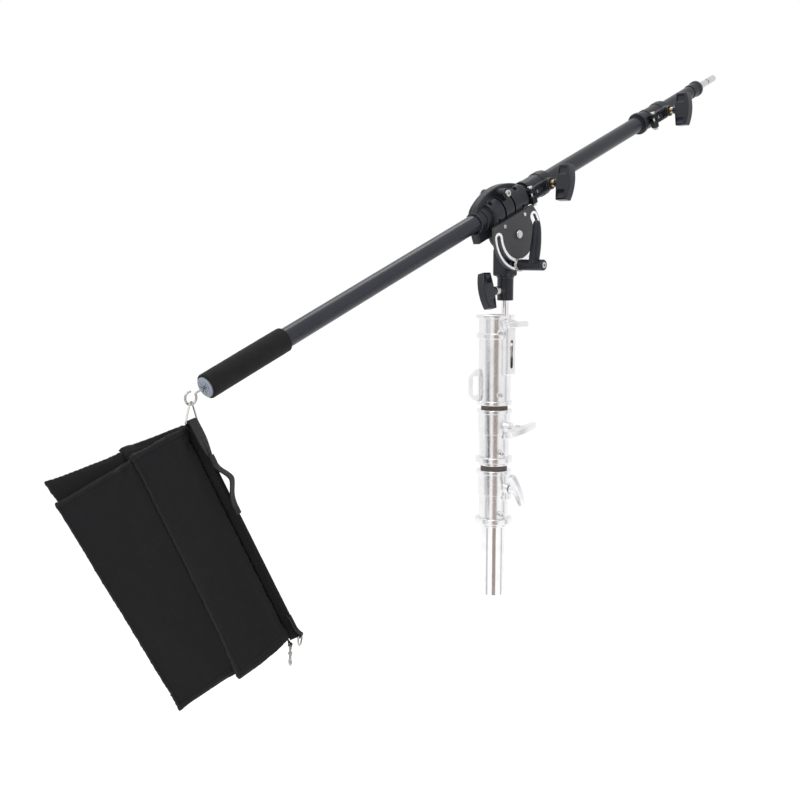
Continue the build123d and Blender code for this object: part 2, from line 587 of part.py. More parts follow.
def webbing(points, half_width, thick):
    """A flat strap through (u, v) points of its middle, lying across the bag's spine."""
    path = Polyline(*[bag_point(u, v, 0) for u, v in points])
    section = Plane(origin=path @ 0, z_dir=path % 0, x_dir=(0, 1, 0)) * Rectangle(2 * half_width, thick)
    return BAG * sweep(section, path=path, transition=Transition.RIGHT)


def webbing_loop(point, half_width, wire):
    """The sewn loop at a strap's end, round a wire that runs across the bag."""
    x, depth, z = point
    return BAG * rod(wire + 2.0, (x, depth - half_width, z), (x, depth + half_width, z), bore=wire + 0.3)


def bag_panels():
    """Two hung halves, each a spine-side flap and an outer pouch."""
    gap = BAG_HALF_GAP
    length = BAG_LENGTH
    save("front_flap", bag_panel([(-6, 7), (-2, 114), (402, 103), (length, 1)], 18, 42, -gap, -1))
    save("front_pouch", bag_panel([(5, 115), (18, 274), (416, 230), (393, 104.5)], 9, 18, -gap, -1))
    save("back_flap", bag_panel([(-9, 8), (-20, 140), (386, 120), (length - 10, 1)], 18, 42, gap, 1))
    save("back_pouch", bag_panel([(-12, 141.5), (-22, 283), (398, 222), (386, 121.5)], 9, 18, gap, 1))


def bag_webbing():
    """The strap from the ring's bar down the spine, and the grab handle that stands off it."""
    strap = webbing([(-2, 0), (6, -2.6), (60, -3.0), (190, -3.0), (BAG_LENGTH - 8, -3.0)], 22.0, 1.8)
    bar_loop = webbing_loop((0, 0, -RING_BASE), 20.0, RING_WIRE)
    save("spine_strap", strap + bar_loop)
    handle = [(58, -5.2), (74, -5.4), (84, -9.0), (103, -20.0), (118, -15.0), (134, -7.0), (142, -5.4),
              (160, -5.2)]
    save("grab_handle", webbing(handle, 12.5, 2.0))


def lower_fittings():
    """The D-ring at the spine's foot and the small snap hook beside it, each in a webbing loop."""
    eye = bag_point(BAG_LENGTH + 1, -9.5, 0)
    save("ring_tab", webbing([(BAG_LENGTH - 40, -5.2), (BAG_LENGTH - 6, -5.6)], 9.0, 2.0)
         + webbing_loop(eye, 9.0, 1.5) + webbing([(BAG_LENGTH - 8, -5.6), (BAG_LENGTH - 1, -8.0)], 9.0, 2.0))
    half_ring = Plane.YZ * FilletPolyline((0, 0), (11.5, 0), (11.5, -9), (5.5, -15.5), (0, -15.5), radius=2.5)
    wire = bent_wire(1.5, half_ring)
    save("d_ring", BAG * Pos(*eye) * (wire + mirror(wire, about=Plane.XZ)))


def snap_hook():
    """A small snap hook: a swivel eye, a turned neck, a round hook and the gate that closes it."""
    eye = Pos(0, 0, -5.2) * Rot(0, 90, 0) * Torus(5.4, 1.2)
    neck = rod(2.6, (0, 0, -19.5), (0, 0, -11.2), soften=0.5) + rod(3.6, (0, 0, -16), (0, 0, -13), soften=0.5)
    bowl = CenterArc((0, -27), 6.5, 75, 250)
    hook = bent_wire(1.7, Plane.YZ * bowl)
    gate = rod(1.1, (0, 5.4, -30.5), (0, 2.4, -20.6))
    return eye + neck + hook + gate + rod(1.8, (0, 0, -22.5), (0, 0, -19))


def snap_fittings():
    """The snap hook hung plumb from a webbing loop between the bag's halves at its foot."""
    eye = bag_point(BAG_LENGTH + 9, 12.5, 0)
    tab = webbing([(BAG_LENGTH - 24, 12.5), (BAG_LENGTH + 6.5, 12.5)], 2.0, 2.0)
    save("snap_tab", tab + webbing_loop(eye, 2.4, 1.6))
    save("snap_hook", BAG * Pos(*eye) * snap_hook())


make_column()
make_receiver()
make_yoke()
make_ratchet_lever()
make_head()
make_grips()
make_boom()
save("bag_ring", bag_ring())
bag_panels()
bag_webbing()
lower_fittings()
snap_fittings()
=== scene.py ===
"""The looks of a telescoping stand column with a pivoting grip head, a two-section boom and a saddle bag."""

import json
import math

import bmesh
import bpy
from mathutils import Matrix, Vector, noise
from mathutils.bvhtree import BVHTree


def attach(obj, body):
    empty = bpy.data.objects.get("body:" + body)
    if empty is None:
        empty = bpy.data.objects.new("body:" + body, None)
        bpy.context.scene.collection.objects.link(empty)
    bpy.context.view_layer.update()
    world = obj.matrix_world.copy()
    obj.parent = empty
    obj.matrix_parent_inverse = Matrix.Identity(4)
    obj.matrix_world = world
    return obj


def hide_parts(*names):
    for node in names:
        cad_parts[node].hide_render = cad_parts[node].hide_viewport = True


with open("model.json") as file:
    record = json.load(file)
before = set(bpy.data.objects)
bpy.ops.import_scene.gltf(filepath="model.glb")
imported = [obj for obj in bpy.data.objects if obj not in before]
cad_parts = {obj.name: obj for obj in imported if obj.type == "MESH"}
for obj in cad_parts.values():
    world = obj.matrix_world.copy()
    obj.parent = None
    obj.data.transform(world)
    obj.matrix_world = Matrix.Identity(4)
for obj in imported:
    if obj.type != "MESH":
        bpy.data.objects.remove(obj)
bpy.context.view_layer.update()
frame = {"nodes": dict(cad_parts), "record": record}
NODES = frame["nodes"]
SCENE = bpy.context.scene
MM = 0.001
BOOM_TILT = math.radians(22.93)

# ---- Camera ---------------------------------------------------------------------------------

CAMERA_PLACE = (-1.8047, -1.5518, 0.7073)
CAMERA_PITCH = 7.143
CAMERA_TURN = 44.583
LENS = 51.81
SENSOR = 36.0


def make_camera():
    data = bpy.data.cameras.new("camera")
    data.lens = LENS
    data.sensor_width = SENSOR
    data.clip_end = 100.0
    camera = bpy.data.objects.new("camera", data)
    camera.location = CAMERA_PLACE
    camera.rotation_euler = (math.radians(90 - CAMERA_PITCH), 0, math.radians(-CAMERA_TURN))
    SCENE.collection.objects.link(camera)
    SCENE.camera = camera


make_camera()

# ---- The bag's own directions -----------------------------------------------------------------

HOOK_POINT = Vector((-0.767604, -0.026, 0.472433))
YAW = math.radians(36)
LEAN = math.radians(25.6)
ACROSS = Vector((math.sin(YAW), -math.cos(YAW), 0))
DEPTH = Vector((math.cos(YAW), math.sin(YAW), 0))
UP = Vector((0, 0, 1))
DOWN_SPINE = ACROSS * math.sin(LEAN) - UP * math.cos(LEAN)
OFF_SPINE = -ACROSS * math.cos(LEAN) - UP * math.sin(LEAN)
SPINE_TOP = (2.0, -31.5)
RING_BAR = -27.0


def plane_point(x, z, depth=0.0):
    """A point by its place in the bag's hanging plane, in millimetres from the hook's contact."""
    return HOOK_POINT + (ACROSS * x + UP * z + DEPTH * depth) * MM


def bag_point(u, v, depth=0.0):
    """A point by distance down the spine, out from it and through the bag, in millimetres."""
    return plane_point(*SPINE_TOP, depth) + (DOWN_SPINE * u + OFF_SPINE * v) * MM


# ---- Materials --------------------------------------------------------------------------------


class Shader:
    """A material under construction: makes nodes and links them by socket name."""

    def __init__(self, name):
        self.material = bpy.data.materials.new(name)
        self.material.use_nodes = True
        self.tree = self.material.node_tree
        self.surface = self.tree.nodes["Principled BSDF"]
        self.place = self.tree.nodes.new("ShaderNodeTexCoord").outputs["Object"]

    def node(self, kind, settings=None, **inputs):
        made = self.tree.nodes.new("ShaderNode" + kind)
        for key, value in (settings or {}).items():
            setattr(made, key, value)
        for key, value in inputs.items():
            self.feed(made.inputs[int(key[1:]) if key[1:].isdigit() else key.replace("_", " ")], value)
        return made

    def feed(self, socket, value):
        if isinstance(value, bpy.types.NodeSocket):
            self.tree.links.new(value, socket)
        else:
            socket.default_value = value

    def stretched(self, scale):
        return self.node("Mapping", Vector=self.place, Scale=scale).outputs[0]

    def along(self, direction):
        """Distance along a direction, in metres."""
        return self.node("VectorMath", {"operation": "DOT_PRODUCT"}, i0=self.place,
                         i1=tuple(direction)).outputs["Value"]

    def maths(self, operation, a, b=0.0):
        return self.node("Math", {"operation": operation}, i0=a, i1=b).outputs[0]

    def noise(self, where, scale, detail=3.0, roughness=0.5, distortion=0.0):
        return self.node("TexNoise", Vector=where, Scale=scale, Detail=detail, Roughness=roughness,
                         Distortion=distortion).outputs[0]

    def spread(self, value, low, high, start=0.3, end=0.7):
        return self.node("MapRange", Value=value, From_Min=start, From_Max=end, To_Min=low,
                         To_Max=high).outputs["Result"]

    def ramp(self, value, *stops):
        made = self.node("ValToRGB", Fac=value)
        elements = made.color_ramp.elements
        while len(elements) < len(stops):
            elements.new(0.5)
        for element, (place, colour) in zip(elements, stops):
            element.position = place
            element.color = (*colour, 1)
        return made.outputs[0]

    def blend(self, share, a, b):
        made = self.node("Mix", {"data_type": "RGBA"}, i0=share)
        self.feed(made.inputs[6], a)
        self.feed(made.inputs[7], b)
        return made.outputs[2]

    def edges(self, reach, start, end):
        """1 along sharp edges and 0 on flats, from how far a bevelled normal turns away."""
        bevel = self.node("Bevel", {"samples": 4}, Radius=reach).outputs[0]
        flat = self.tree.nodes.new("ShaderNodeNewGeometry").outputs["Normal"]
        turn = self.node("VectorMath", {"operation": "DOT_PRODUCT"}, i0=bevel, i1=flat).outputs["Value"]
        return self.node("MapRange", Value=turn, From_Min=end, From_Max=start, To_Min=1.0,
                         To_Max=0.0).outputs["Result"]

    def bump(self, height, depth, strength=1.0, under=None):
        made = self.node("Bump", Height=height, Distance=depth, Strength=strength)
        if under is not None:
            self.feed(made.inputs["Normal"], under)
        return made.outputs[0]

    def finish(self, colour, rough, normal=None, metal=0.0, **settings):
        self.feed(self.surface.inputs["Base Color"], colour)
        self.feed(self.surface.inputs["Roughness"], rough)
        self.surface.inputs["Metallic"].default_value = metal
        if normal is not None:
            self.feed(self.surface.inputs["Normal"], normal)
        for key, value in settings.items():
            self.surface.inputs[key.replace("_", " ")].default_value = value
        return self.material


def shade(colour, factor):
    """The colour made darker or lighter by a factor."""
    return tuple(min(1.0, c * factor) for c in colour)


def plated(name, colour, rough, polish=(1, 1, 1), lines=900.0, depth=0.000004, metal=1.0):
    """Plated or turned metal: fine drawn lines, slow tarnish clouds and a few handling marks."""
    s = Shader(name)
    fine = s.noise(s.stretched(polish), lines, 4.0, 0.6)
    clouds = s.noise(s.place, 28.0, 4.0, 0.55, 0.6)
    marks = s.noise(s.place, 210.0, 5.0, 0.7)
    tint = s.ramp(clouds, (0.25, shade(colour, 0.90)), (0.55, colour), (0.8, shade(colour, 1.05)))
    worn = s.blend(s.spread(marks, 0.0, 0.35, 0.58, 0.78), tint, (*shade(colour, 0.72), 1))
    handled = s.spread(marks, 0.0, 0.06, 0.5, 0.75)
    roughness = s.maths("ADD", s.spread(fine, rough * 0.75, rough * 1.25), handled)
    return s.finish(worn, roughness, s.bump(fine, depth, 0.7), metal=metal)


def painted(name, colour, rough, grain, depth, wear, reach=0.0012, cool=1.0):
    """Textured paint on a casting: fine pebble, slow mottling, and paler rubbed edges."""
    s = Shader(name)
    pebble = s.noise(s.place, grain, 3.0, 0.6)
    clouds = s.noise(s.place, 22.0, 4.0, 0.6, 0.4)
    dust = s.noise(s.place, 130.0, 6.0, 0.65)
    paint = s.ramp(clouds, (0.3, shade(colour, 0.82)), (0.6, colour), (0.8, shade(colour, 1.25)))
    dusty = s.blend(s.spread(dust, 0.0, 0.16, 0.55, 0.8), paint, (0.10, 0.10, 0.105 * cool, 1))
    edge_wear_and_crease_highlight = s.maths("MULTIPLY", s.edges(reach, 0.995, 0.90), s.spread(dust, 0.25, 1.0, 0.35, 0.62))
    worn = s.blend(s.maths("MULTIPLY", edge_wear_and_crease_highlight, wear), dusty, (0.33, 0.33, 0.35, 1))
    roughness = s.spread(clouds, rough * 0.86, rough * 1.14)
    return s.finish(worn, roughness, s.bump(pebble, depth, 0.8), Specular_IOR_Level=0.32)


def tube_paint(name, colour, rough):
    """Satin paint on a drawn tube: faint lengthwise draw lines and scuffs from the clamps."""
    s = Shader(name)
    turned = s.node("Mapping", Vector=s.place, Rotation=(0, BOOM_TILT, 0), Scale=(1, 1, 1)).outputs[0]
    lengthwise = s.node("Mapping", Vector=turned, Scale=(0.03, 1, 1)).outputs[0]
    ringwise = s.node("Mapping", Vector=turned, Scale=(1, 0.06, 0.06)).outputs[0]
    drawn = s.noise(lengthwise, 420.0, 3.0, 0.6)
    scuffs = s.noise(ringwise, 900.0, 5.0, 0.75)
    clouds = s.noise(s.place, 14.0, 4.0, 0.6)
    orange = s.noise(s.place, 1500.0, 2.0)
    paint = s.ramp(clouds, (0.3, shade(colour, 0.85)), (0.7, shade(colour, 1.15)))
    marked = s.blend(s.spread(scuffs, 0.0, 0.28, 0.62, 0.80), paint, (0.13, 0.13, 0.14, 1))
    scuffed = s.spread(scuffs, 0.0, 0.08, 0.5, 0.7)
    roughness = s.maths("ADD", s.spread(drawn, rough * 0.85, rough * 1.15), scuffed)
    low = s.bump(drawn, 0.00001, 0.4)
    return s.finish(marked, roughness, s.bump(orange, 0.00001, 0.5, low), Specular_IOR_Level=0.34)


def moulded(name, colour, rough, grain=1100.0, depth=0.00002):
    """Moulded plastic with a fine spark-eroded texture, worn smoother where hands turn it."""
    s = Shader(name)
    pits = s.node("TexVoronoi", Vector=s.place, Scale=grain).outputs["Distance"]
    clouds = s.noise(s.place, 40.0, 4.0, 0.6)
    dust = s.noise(s.place, 260.0, 6.0, 0.7)
    tint = s.ramp(clouds, (0.3, shade(colour, 0.8)), (0.7, shade(colour, 1.2)))
    dusty = s.blend(s.spread(dust, 0.0, 0.2, 0.55, 0.8), tint, (*shade(colour, 3.0), 1))
    worn = s.blend(s.maths("MULTIPLY", s.edges(0.0015, 0.995, 0.9), 0.4), dusty, (*shade(colour, 3.6), 1))
    return s.finish(worn, s.spread(clouds, rough * 0.8, rough * 1.2), s.bump(pits, depth, 0.5),
                    Specular_IOR_Level=0.4)


def rubber(name, colour):
    """Dull rubber or thread: a fine dry grain and slow patches."""
    s = Shader(name)
    fine = s.noise(s.place, 1600.0, 3.0)
    clouds = s.noise(s.place, 60.0, 4.0, 0.65)
    tint = s.ramp(clouds, (0.3, shade(colour, 0.7)), (0.75, shade(colour, 1.35)))
    return s.finish(tint, s.spread(clouds, 0.62, 0.82), s.bump(fine, 0.00003, 0.8))


def foam(name, colour):
    """Closed-cell foam: fine open pores, a few torn ones darkened with painted shade in their dents, and a
    dusty bloom.
    """
    s = Shader(name)
    cells = s.node("TexVoronoi", Vector=s.place, Scale=1400.0).outputs["Distance"]
    nicks = s.node("TexVoronoi", Vector=s.place, Scale=160.0).outputs["Distance"]
    clouds = s.noise(s.place, 35.0, 5.0, 0.65)
    tint = s.ramp(clouds, (0.3, shade(colour, 0.7)), (0.75, shade(colour, 1.5)))
    # painted shade: the torn pores are darkened where the bump dents them in
    pores_with_painted_shade = s.blend(s.spread(nicks, 0.6, 0.0, 0.04, 0.12), tint, (*shade(colour, 0.35), 1))
    low = s.bump(nicks, 0.0002, 0.25)
    return s.finish(pores_with_painted_shade, 0.9, s.bump(cells, 0.00012, 0.8, low), Sheen_Weight=0.05, Sheen_Roughness=0.6,
                    Specular_IOR_Level=0.15)


def woven(name, colour, pitch, depth, sheen):
    """Plain-woven nylon: over-and-under yarns with painted shade where they dip, slubs, lint, and creases
    that catch the light as painted highlights.
    """
    s = Shader(name)
    u = s.along(DOWN_SPINE)
    v = s.along(OFF_SPINE)
    d = s.along(DEPTH)
    turn = math.pi / (pitch * MM)
    warp = s.maths("SINE", s.maths("MULTIPLY", u, turn))
    weft = s.maths("SINE", s.maths("MULTIPLY", s.maths("ADD", v, d), turn))
    cloth = s.maths("MULTIPLY", warp, weft)
    slubs = s.noise(s.stretched((1, 1, 0.12)), 700.0, 3.0, 0.7)
    clouds = s.noise(s.place, 16.0, 5.0, 0.6, 0.5)
    crease = s.noise(s.place, 75.0, 6.0, 0.62, 1.2)
    lint = s.noise(s.place, 1900.0, 2.0, 0.5)
    tint = s.ramp(clouds, (0.28, shade(colour, 0.78)), (0.55, colour), (0.78, shade(colour, 1.35)))
    # painted shade: the cloth is darkened where the weave's height dips between the yarn crossings
    threads_with_painted_shade = s.blend(s.spread(cloth, 0.30, 0.0, -0.8, 0.2), tint, (*shade(colour, 0.45), 1))
    # painted highlight: the raised crease ridges are made paler, as if catching the light
    edge_wear_and_crease_highlight = s.blend(s.spread(crease, 0.0, 0.22, 0.55, 0.75), threads_with_painted_shade, (*shade(colour, 2.4), 1))
    linty = s.blend(s.spread(lint, 0.0, 0.5, 0.74, 0.82), edge_wear_and_crease_highlight, (0.045, 0.045, 0.045, 1))
    low = s.bump(crease, 0.0006, 0.35)
    high = s.bump(s.maths("ADD", cloth, slubs), depth, 0.7, low)
    return s.finish(linty, s.spread(clouds, 0.66, 0.84), high, Sheen_Weight=sheen, Sheen_Roughness=0.45,
                    Specular_IOR_Level=0.16)


def ribbed(name, colour):
    """Woven webbing: herringbone ribs across it and a tight weave along them, darker in the hollows and
    paler on the crowns as painted shade and highlight.
    """
    s = Shader(name)
    u = s.along(DOWN_SPINE)
    d = s.along(DEPTH)
    ribs = s.maths("SINE", s.maths("MULTIPLY", u, math.tau / 0.0016))
    rows = s.maths("SINE", s.maths("MULTIPLY", d, math.tau / 0.0028))
    weave = s.maths("ADD", ribs, s.maths("MULTIPLY", rows, 0.7))
    fuzz = s.noise(s.place, 900.0, 4.0, 0.65)
    # painted shade and highlight: colour runs from dark in the weave's hollows to pale on its crowns,
    # following the bump's height
    tint = s.ramp(s.spread(weave, 0.0, 1.0, -1.4, 1.4), (0.1, shade(colour, 0.4)), (0.9, shade(colour, 1.5)))
    dusty = s.blend(s.spread(fuzz, 0.0, 0.3, 0.55, 0.8), tint, (0.03, 0.03, 0.03, 1))
    return s.finish(dusty, s.spread(fuzz, 0.6, 0.8), s.bump(weave, 0.00012, 0.8), Sheen_Weight=0.05,
                    Sheen_Roughness=0.4, Specular_IOR_Level=0.2)


MATERIALS = {
    "column_chrome": plated("column_chrome", (0.86, 0.86, 0.87), 0.13, (1, 1, 0.04), 1200.0),
    "cast_column": plated("cast_column", (0.83, 0.83, 0.84), 0.24, (1, 1, 1), 700.0, 0.00004),
    "column_lever": plated("column_lever", (0.84, 0.84, 0.85), 0.27, (1, 1, 1), 900.0, 0.00003),
    "bumper_rubber": rubber("bumper_rubber", (0.115, 0.09, 0.08)),
    "bright_steel": plated("bright_steel", (0.62, 0.61, 0.60), 0.28, (1, 0.05, 1), 1500.0, 0.00001),
    "head_cast": painted("head_cast", (0.010, 0.0115, 0.016), 0.36, 900.0, 0.00006, 0.35, cool=1.1),
    "plate_black": painted("plate_black", (0.048, 0.047, 0.053), 0.55, 1400.0, 0.00003, 0.45),
    "slot_rim": plated("slot_rim", (0.90, 0.90, 0.91), 0.38, (1, 1, 1), 1300.0, 0.00001, 0.25),
    "knob_plastic": moulded("knob_plastic", (0.0085, 0.0105, 0.016), 0.26),
    "brass_screw": plated("brass_screw", (0.50, 0.36, 0.20), 0.32, (1, 0.05, 1), 1500.0, 0.00001),
    "boom_black": tube_paint("boom_black", (0.0155, 0.0168, 0.024), 0.28),
    "foam": foam("foam", (0.0075, 0.0075, 0.0085)),
    "plug_grey": moulded("plug_grey", (0.20, 0.23, 0.28), 0.34),
    "hook_steel": plated("hook_steel", (0.46, 0.45, 0.43), 0.34, (1, 1, 1), 1200.0, 0.00002),
    "bag_nylon": woven("bag_nylon", (0.0075, 0.0073, 0.0084), 0.8, 0.00008, 0.05),
    "bag_webbing": ribbed("bag_webbing", (0.0045, 0.0045, 0.0052)),
}
THREAD = rubber("thread", (0.012, 0.012, 0.013))


def dress_nodes():
    """Each CAD node gets the material of its slot in the record."""
    for part in frame["record"]["subparts"]:
        node = NODES[part["node"]]
        node.data.materials.clear()
        node.data.materials.append(MATERIALS[part["material_slot"]])


dress_nodes()

# ---- Pieces made in mesh code -------------------------------------------------------------------


def made_mesh(bm, name):
    """The working mesh as a mesh of its own."""
    mesh = bpy.data.meshes.new(name)
    bm.to_mesh(mesh)
    bm.free()
    return mesh


def closed_mesh(bm, name):
    """The same for a closed shape, with every face turned outwards."""
    bmesh.ops.recalc_face_normals(bm, faces=bm.faces)
    return made_mesh(bm, name)


def add_object(name, mesh, body, slot, material=None):
    """A smooth-shaded piece of one body, in one material slot of the record."""
    for face in mesh.polygons:
        face.use_smooth = True
    mesh.materials.clear()
    mesh.materials.append(material or MATERIALS[slot])
    obj = bpy.data.objects.new(name, mesh)
    SCENE.collection.objects.link(obj)
    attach(obj, body)
    return obj


def smooth_path(points, steps):
    """A Catmull-Rom curve through the points."""
    ends = [points[0] * 2 - points[1], *points, points[-1] * 2 - points[-2]]
    path = []
    for a, b, c, d in zip(ends, ends[1:], ends[2:], ends[3:]):
        for i in range(steps):
            t = i / steps
            path.append(0.5 * (2 * b + (c - a) * t + (2 * a - 5 * b + 4 * c - d) * t * t
                               + (3 * b - a - 3 * c + d) * t ** 3))
    path.append(points[-1])
    return path


def strap_section(half_width, half_thick, columns=12):
    """The strap's outline: flat, with a slightly thicker woven selvedge, and rounded sides."""
    upper = []
    for i in range(columns + 1):
        w = -1 + 2 * i / columns
        edge = max(0.0, abs(w) - 0.82) / 0.18
        height = half_thick * (1 - 0.75 * edge ** 3 + 0.16 * math.exp(-((abs(w) - 0.86) / 0.05) ** 2))
        upper.append((w * half_width, height))
    return upper + [(w, -h) for w, h in reversed(upper)]


def ribbon(name, path, across, half_width, half_thick, ripple=0.0, widths=None):
    """A closed strap swept along a path, its width along one fixed direction and scaled by widths."""
    bm = bmesh.new()
    section = strap_section(half_width, half_thick)
    rings = []
    for i, point in enumerate(path):
        before, after = path[max(i - 1, 0)], path[min(i + 1, len(path) - 1)]
        tangent = (after - before).normalized()
        side = (across - tangent * across.dot(tangent)).normalized()
        out = tangent.cross(side).normalized()
        ring = []
        scale = widths(point) if widths else 1.0
        for w, h in section:
            w *= scale
            wave = ripple * noise.noise((point + side * w) * 55.0)
            ring.append(bm.verts.new(point + side * w + out * (h + wave)))
        rings.append(ring)
    for a, b in zip(rings, rings[1:]):
        for j in range(len(section)):
            k = (j + 1) % len(section)
            bm.faces.new((a[j], a[k], b[k], b[j]))
    bm.faces.new(rings[0][::-1])
    bm.faces.new(rings[-1])
    return closed_mesh(bm, name)


THREAD_SIDES = 5


def stitches(name, runs, out, body, pitch=0.0034, length=0.0024, half=0.00036):
    """Rows of sewn thread: each stitch is a small rounded bead that dips in at both ends."""
    bm = bmesh.new()
    profile = ((-0.5, 0.25, -0.5), (-0.3, 0.9, 0.5), (0.0, 1.0, 1.0), (0.3, 0.9, 0.5), (0.5, 0.25, -0.5))
    turns = [math.tau * j / THREAD_SIDES for j in range(THREAD_SIDES)]
    for run in runs:
        spans = [(a, b, (b - a).length) for a, b in zip(run, run[1:])]
        total = sum(span[2] for span in spans)
        for n in range(int(total / pitch)):
            reach = (n + 0.5) * pitch
            for a, b, size in spans:
                if reach <= size:
                    break
                reach -= size
            along = (b - a).normalized()
            centre = a.lerp(b, min(1.0, reach / size))
            face = out - along * out.dot(along)
            face.normalize()
            side = along.cross(face)
            rings = []
            for place, fat, lift in profile:
                spot = centre + along * length * place + face * half * lift
                rings.append([bm.verts.new(spot + (side * math.cos(q) + face * math.sin(q)) * half * fat)
                              for q in turns])
            for p, q in zip(rings, rings[1:]):
                for j in range(THREAD_SIDES):
                    k = (j + 1) % THREAD_SIDES
                    bm.faces.new((p[j], p[k], q[k], q[j]))
            bm.faces.new(rings[0][::-1])
            bm.faces.new(rings[-1])
    return add_object(name, closed_mesh(bm, name), body, "bag_webbing", THREAD)


# ---- The bag's four filled panels ---------------------------------------------------------------

# the even mesh's cell, how far the cloth may swell, and how far each face is first drawn in
FLAP = {"voxel": 0.0045, "swell": 0.0055, "draw_in": 4.5}
POUCH = {"voxel": 0.0035, "swell": 0.0035, "draw_in": 1.2}
SPREAD = -0.4
CUTS = 30
SIM_FRAMES = 20
PRESSURE = 4.0
SPINE_TAPER = 0.048
SPINE_SHARE = 0.16
INNER_FACE = 0.004
# how far a pouch is drawn in under its flap's edge, and how much of its width gives
TUCK = 0.0125
TUCK_REACH = 0.016
# node: side of the bag, and its (u, v) corners in mm at spine top, edge top, edge foot and spine foot
PANELS = {
    "front_flap": (-1, ((-6, 7), (-2, 114), (402, 103), (378, 1))),
    "front_pouch": (-1, ((5, 115), (18, 274), (416, 230), (393, 104.5))),
    "back_flap": (1, ((-9, 8), (-20, 140), (386, 120), (368, 1))),
    "back_pouch": (1, ((-12, 141.5), (-22, 283), (398, 222), (386, 121.5))),
}


def copied_shell(node, inset):
    """The node's shape as one welded mesh, drawn in a little so that it can swell."""
    bm = bmesh.new()
    bm.from_mesh(NODES[node].data)
    bmesh.ops.remove_doubles(bm, verts=bm.verts, dist=1e-5)
    middle = sum((v.co for v in bm.verts), Vector()) / len(bm.verts)
    spans = {}
    for name, axis in (("u", DOWN_SPINE), ("v", OFF_SPINE), ("d", DEPTH)):
        reaches = [(v.co - middle).dot(axis) for v in bm.verts]
        spans[name] = (axis, max(reaches) - min(reaches))
    for v in bm.verts:
        for name, (axis, size) in spans.items():
            v.co -= axis * ((v.co - middle).dot(axis)) * (2 * inset[name] / size)
    bmesh.ops.subdivide_edges(bm, edges=bm.edges, cuts=CUTS, use_grid_fill=True)
    shape_section(bm, node)
    return made_mesh(bm, node + "_cloth")


def shape_section(bm, node):
    """The sewn spine is thin and the fill swells away from it; a pouch tucks in under its flap's edge."""
    side, corners = PANELS[node]
    inner = corners[0][1] * MM
    for v in bm.verts:
        local = v.co - bag_point(0, 0)
        off = local.dot(OFF_SPINE)
        deep = abs(local.dot(DEPTH))
        if node.endswith("flap"):
            share = min(1.0, max(0.0, off / SPINE_TAPER))
            keep = SPINE_SHARE + (1 - SPINE_SHARE) * math.sin(share * math.pi / 2)
            v.co -= DEPTH * side * (deep - INNER_FACE) * (1 - keep)
        elif off < inner + TUCK_REACH:
            v.co -= OFF_SPINE * TUCK * (1 - max(0.0, off - inner) / TUCK_REACH)


def evaluated_mesh(obj):
    graph = bpy.context.evaluated_depsgraph_get()
    return bpy.data.meshes.new_from_object(obj.evaluated_get(graph), depsgraph=graph)


def swollen(obj, cap):
    """Runs the cloth simulation on obj and returns its settled mesh, no point moved past cap."""
    rest = [v.co.copy() for v in obj.data.vertices]
    cloth = obj.modifiers.new("cloth", "CLOTH")
    cloth.settings.quality = 5
    cloth.settings.mass = 0.3
    cloth.settings.tension_stiffness = 25
    cloth.settings.compression_stiffness = 12
    cloth.settings.bending_stiffness = 0.6
    cloth.settings.use_pressure = True
    cloth.settings.uniform_pressure_force = PRESSURE
    cloth.settings.effector_weights.gravity = 0
    cloth.point_cache.frame_start = 1
    cloth.point_cache.frame_end = SIM_FRAMES
    for step in range(1, SIM_FRAMES + 1):
        SCENE.frame_set(step)
    mesh = evaluated_mesh(obj)
    for v, start in zip(mesh.vertices, rest):
        move = v.co - start
        if move.length > cap:
            v.co = start + move * (cap / move.length)
    obj.modifiers.clear()
    SCENE.frame_set(1)
    return mesh


def slack(point, side, top_u, edge):
    """How far the cloth stands in or out at a point: slow dents, drag folds and a sag at the foot."""
    local = point - bag_point(0, 0)
    u = local.dot(DOWN_SPINE)
    v = local.dot(OFF_SPINE)
    dents = 0.0022 * noise.noise(Vector((u * 9.0, v * 12.0, side * 3.1)))
    dents += 0.0009 * noise.noise(Vector((u * 30.0, v * 42.0, side * 7.7)))
    fan = math.atan2(v - edge, max(u - top_u, 0.0005) + 0.02)
    nearness = math.exp(-((u - top_u) / 0.085) ** 2)
    folds = 0.0016 * nearness * math.sin(fan * 11.0 + 1.3) * math.exp(-((v - edge) / 0.10) ** 2)
    drag = 0.0012 * math.sin((v + 0.22 * u) * 70.0) * noise.noise(Vector((u * 5.0, 0.3, side)))
    return dents + folds + drag


def make_panel(node):
    side, corners = PANELS[node]
    is_flap = node.endswith("flap")
    kind = FLAP if is_flap else POUCH
    inset = {"u": SPREAD * MM, "v": SPREAD * MM, "d": kind["draw_in"] * MM}
    obj = bpy.data.objects.new(node + "_sim", copied_shell(node, inset))
    SCENE.collection.objects.link(obj)
    remesh = obj.modifiers.new("remesh", "REMESH")
    remesh.mode = "VOXEL"
    remesh.voxel_size = kind["voxel"]
    relax = obj.modifiers.new("relax", "SMOOTH")
    relax.factor = 0.5
    relax.iterations = 2
    even = evaluated_mesh(obj)
    obj.modifiers.clear()
    obj.data = even
    obj.data = swollen(obj, kind["swell"])
    subdivide = obj.modifiers.new("subdivide", "SUBSURF")
    subdivide.levels = 1
    subdivide.render_levels = 1
    fine = evaluated_mesh(obj)
    bpy.data.objects.remove(obj)
    top_u = corners[0][0] * MM
    edge = (corners[1][1] if is_flap else corners[0][1]) * MM
    normals = [v.normal.copy() for v in fine.vertices]
    for v, normal in zip(fine.vertices, normals):
        outward = max(0.0, normal.dot(DEPTH) * side)
        v.co += normal * outward * slack(v.co, side, top_u, edge)
    piece = add_object(node + "_cloth", fine, "bag", "bag_nylon")
    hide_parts(node)
    return piece


def surface_of(obj):
    return BVHTree.FromPolygons([v.co for v in obj.data.vertices], [p.vertices for p in obj.data.polygons])


